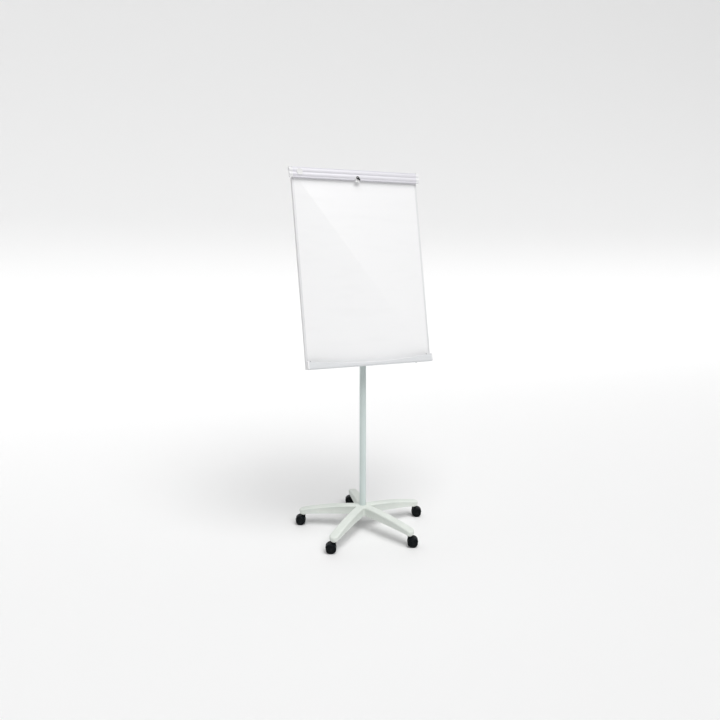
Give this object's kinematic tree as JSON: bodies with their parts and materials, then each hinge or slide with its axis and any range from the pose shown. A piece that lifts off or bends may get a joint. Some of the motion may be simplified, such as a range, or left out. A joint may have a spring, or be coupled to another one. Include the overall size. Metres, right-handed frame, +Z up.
{
  "type": "flipchart easel",
  "caption": "Mobile flipchart easel: tilting whiteboard with paper clamp rail and pen tray on a telescopic post with a star base on swivel castors",
  "frame": {"origin": "on the floor under the axis of the post", "axes": "+Z up along the post, +X to the right along the board as the viewer sees it, the writing side faces -Y"},
  "size_m": [0.7458, 0.7112, 1.9307],
  "materials": {
    "base_plastic": "moulded, fine satin grain, light greenish grey",
    "post_paint": "powder coat, light greenish grey",
    "mast_steel": "chromed steel tube",
    "steel": "bright zinc plated steel",
    "black_plastic": "black moulded plastic",
    "knob_plastic": "black moulded plastic, fine grain",
    "castor_plastic": "black moulded nylon, semi gloss",
    "wheel_plastic": "black moulded nylon, semi gloss",
    "enamel": "white enamelled steel, glossy",
    "core_card": "honeycomb card core",
    "zinc_sheet": "galvanised steel sheet",
    "trim_paint": "white powder coat",
    "bracket_paint": "grey powder coat",
    "rail_aluminium": "satin anodised extrusion",
    "tray_aluminium": "satin anodised sheet",
    "cap_plastic": "light grey moulded plastic",
    "badge_plastic": "white moulded plastic"
  },
  "bodies": {
    "base": {"base_star": "base_plastic", "stem_grip_rings": "steel", "post_tube": "post_paint", "post_plug": "black_plastic", "base_bolt": "steel", "guide_bush": "black_plastic", "clamp_collar": "black_plastic"},
    "castor_1": {"castor_1_housing": "castor_plastic", "castor_1_stem": "steel", "castor_1_axle": "steel"},
    "castor_1_left": {"castor_1_wheel_left": "wheel_plastic"},
    "castor_1_right": {"castor_1_wheel_right": "wheel_plastic"},
    "castor_2": {"castor_2_housing": "castor_plastic", "castor_2_stem": "steel", "castor_2_axle": "steel"},
    "castor_2_left": {"castor_2_wheel_left": "wheel_plastic"},
    "castor_2_right": {"castor_2_wheel_right": "wheel_plastic"},
    "castor_3": {"castor_3_housing": "castor_plastic", "castor_3_stem": "steel", "castor_3_axle": "steel"},
    "castor_3_left": {"castor_3_wheel_left": "wheel_plastic"},
    "castor_3_right": {"castor_3_wheel_right": "wheel_plastic"},
    "castor_4": {"castor_4_housing": "castor_plastic", "castor_4_stem": "steel", "castor_4_axle": "steel"},
    "castor_4_left": {"castor_4_wheel_left": "wheel_plastic"},
    "castor_4_right": {"castor_4_wheel_right": "wheel_plastic"},
    "castor_5": {"castor_5_housing": "castor_plastic", "castor_5_stem": "steel", "castor_5_axle": "steel"},
    "castor_5_left": {"castor_5_wheel_left": "wheel_plastic"},
    "castor_5_right": {"castor_5_wheel_right": "wheel_plastic"},
    "mast": {"mast_tube": "mast_steel", "mast_foot_bush": "black_plastic", "tilt_tongue": "black_plastic"},
    "height_knob": {"height_knob": "knob_plastic", "height_screw": "steel"},
    "board": {"board_face": "enamel", "board_core": "core_card", "board_back_sheet": "zinc_sheet", "side_trims": "trim_paint", "bottom_trim": "trim_paint", "back_stiffeners": "zinc_sheet", "board_bracket": "bracket_paint", "bracket_screws": "steel", "pivot_bolt": "steel", "top_rail": "rail_aluminium", "clamp_hinge_pins": "steel", "pen_tray": "tray_aluminium", "tray_end_caps": "cap_plastic", "tray_screws": "steel"},
    "tilt_knob": {"tilt_knob": "knob_plastic"},
    "clamp_bar": {"clamp_bar": "rail_aluminium", "clamp_end_caps": "cap_plastic", "clamp_badge": "badge_plastic", "latch_plate": "badge_plastic"},
    "clamp_latch": {"clamp_latch": "black_plastic"},
    "pad_hook_left": {"pad_hook_left": "black_plastic"},
    "pad_hook_right": {"pad_hook_right": "black_plastic"}
  },
  "joints": [
    {"name": "castor_1_swivel", "type": "hinge", "parent": "base", "child": "castor_1", "pos_m": [-0.25207, -0.21989, 0.06], "axis": [0, 0, 1], "continuous": true},
    {"name": "castor_1_left_spin", "type": "hinge", "parent": "castor_1", "child": "castor_1_left", "pos_m": [-0.26864, -0.21286, 0.025], "axis": [0.3907, 0.9205, 0], "continuous": true},
    {"name": "castor_1_right_spin", "type": "hinge", "parent": "castor_1", "child": "castor_1_right", "pos_m": [-0.26864, -0.21286, 0.025], "axis": [0.3907, 0.9205, 0], "continuous": true},
    {"name": "castor_2_swivel", "type": "hinge", "parent": "base", "child": "castor_2", "pos_m": [0.13124, -0.30768, 0.06], "axis": [0, 0, 1], "continuous": true},
    {"name": "castor_2_left_spin", "type": "hinge", "parent": "castor_2", "child": "castor_2_left", "pos_m": [0.14781, -0.31471, 0.025], "axis": [-0.3907, -0.9205, 0], "continuous": true},
    {"name": "castor_2_right_spin", "type": "hinge", "parent": "castor_2", "child": "castor_2_right", "pos_m": [0.14781, -0.31471, 0.025], "axis": [-0.3907, -0.9205, 0], "continuous": true},
    {"name": "castor_3_swivel", "type": "hinge", "parent": "base", "child": "castor_3", "pos_m": [0.33318, 0.02974, 0.06], "axis": [0, 0, 1], "continuous": true},
    {"name": "castor_3_left_spin", "type": "hinge", "parent": "castor_3", "child": "castor_3_left", "pos_m": [0.34974, 0.0227, 0.025], "axis": [-0.3907, -0.9205, 0], "continuous": true},
    {"name": "castor_3_right_spin", "type": "hinge", "parent": "castor_3", "child": "castor_3_right", "pos_m": [0.34974, 0.0227, 0.025], "axis": [-0.3907, -0.9205, 0], "continuous": true},
    {"name": "castor_4_swivel", "type": "hinge", "parent": "base", "child": "castor_4", "pos_m": [0.07468, 0.32606, 0.06], "axis": [0, 0, 1], "continuous": true},
    {"name": "castor_4_left_spin", "type": "hinge", "parent": "castor_4", "child": "castor_4_left", "pos_m": [0.05811, 0.33309, 0.025], "axis": [0.3907, 0.9205, 0], "continuous": true},
    {"name": "castor_4_right_spin", "type": "hinge", "parent": "castor_4", "child": "castor_4_right", "pos_m": [0.05811, 0.33309, 0.025], "axis": [0.3907, 0.9205, 0], "continuous": true},
    {"name": "castor_5_swivel", "type": "hinge", "parent": "base", "child": "castor_5", "pos_m": [-0.28702, 0.17178, 0.06], "axis": [0, 0, 1], "continuous": true},
    {"name": "castor_5_left_spin", "type": "hinge", "parent": "castor_5", "child": "castor_5_left", "pos_m": [-0.30359, 0.17881, 0.025], "axis": [0.3907, 0.9205, 0], "continuous": true},
    {"name": "castor_5_right_spin", "type": "hinge", "parent": "castor_5", "child": "castor_5_right", "pos_m": [-0.30359, 0.17881, 0.025], "axis": [0.3907, 0.9205, 0], "continuous": true},
    {"name": "height_slide", "type": "slide", "parent": "base", "child": "mast", "axis": [0, 0, 1], "range_m": [-0.19, 0.1]},
    {"name": "height_knob_turn", "type": "hinge", "parent": "base", "child": "height_knob", "pos_m": [0, 0.05, 0.948], "axis": [0, -1, 0], "range_deg": [0, 270]},
    {"name": "board_tilt", "type": "hinge", "parent": "mast", "child": "board", "pos_m": [0, 0, 1.192], "axis": [1, 0, 0], "range_deg": [-22, 11.8]},
    {"name": "tilt_knob_turn", "type": "hinge", "parent": "board", "child": "tilt_knob", "pos_m": [0.03, 0, 1.192], "axis": [1, 0, 0], "range_deg": [0, 270]},
    {"name": "clamp_open", "type": "hinge", "parent": "board", "child": "clamp_bar", "pos_m": [0, 0.10487, 1.91712], "axis": [-1, 0, 0], "range_deg": [0, 60]},
    {"name": "latch_turn", "type": "hinge", "parent": "clamp_bar", "child": "clamp_latch", "pos_m": [0, 0.07206, 1.8872], "axis": [0, -0.9789, 0.2045], "range_deg": [0, 90]},
    {"name": "hook_left_slide", "type": "slide", "parent": "board", "child": "pad_hook_left", "axis": [1, 0, 0], "range_m": [-0.06, 0.06]},
    {"name": "hook_right_slide", "type": "slide", "parent": "board", "child": "pad_hook_right", "axis": [1, 0, 0], "range_m": [-0.06, 0.06]}
  ]
}
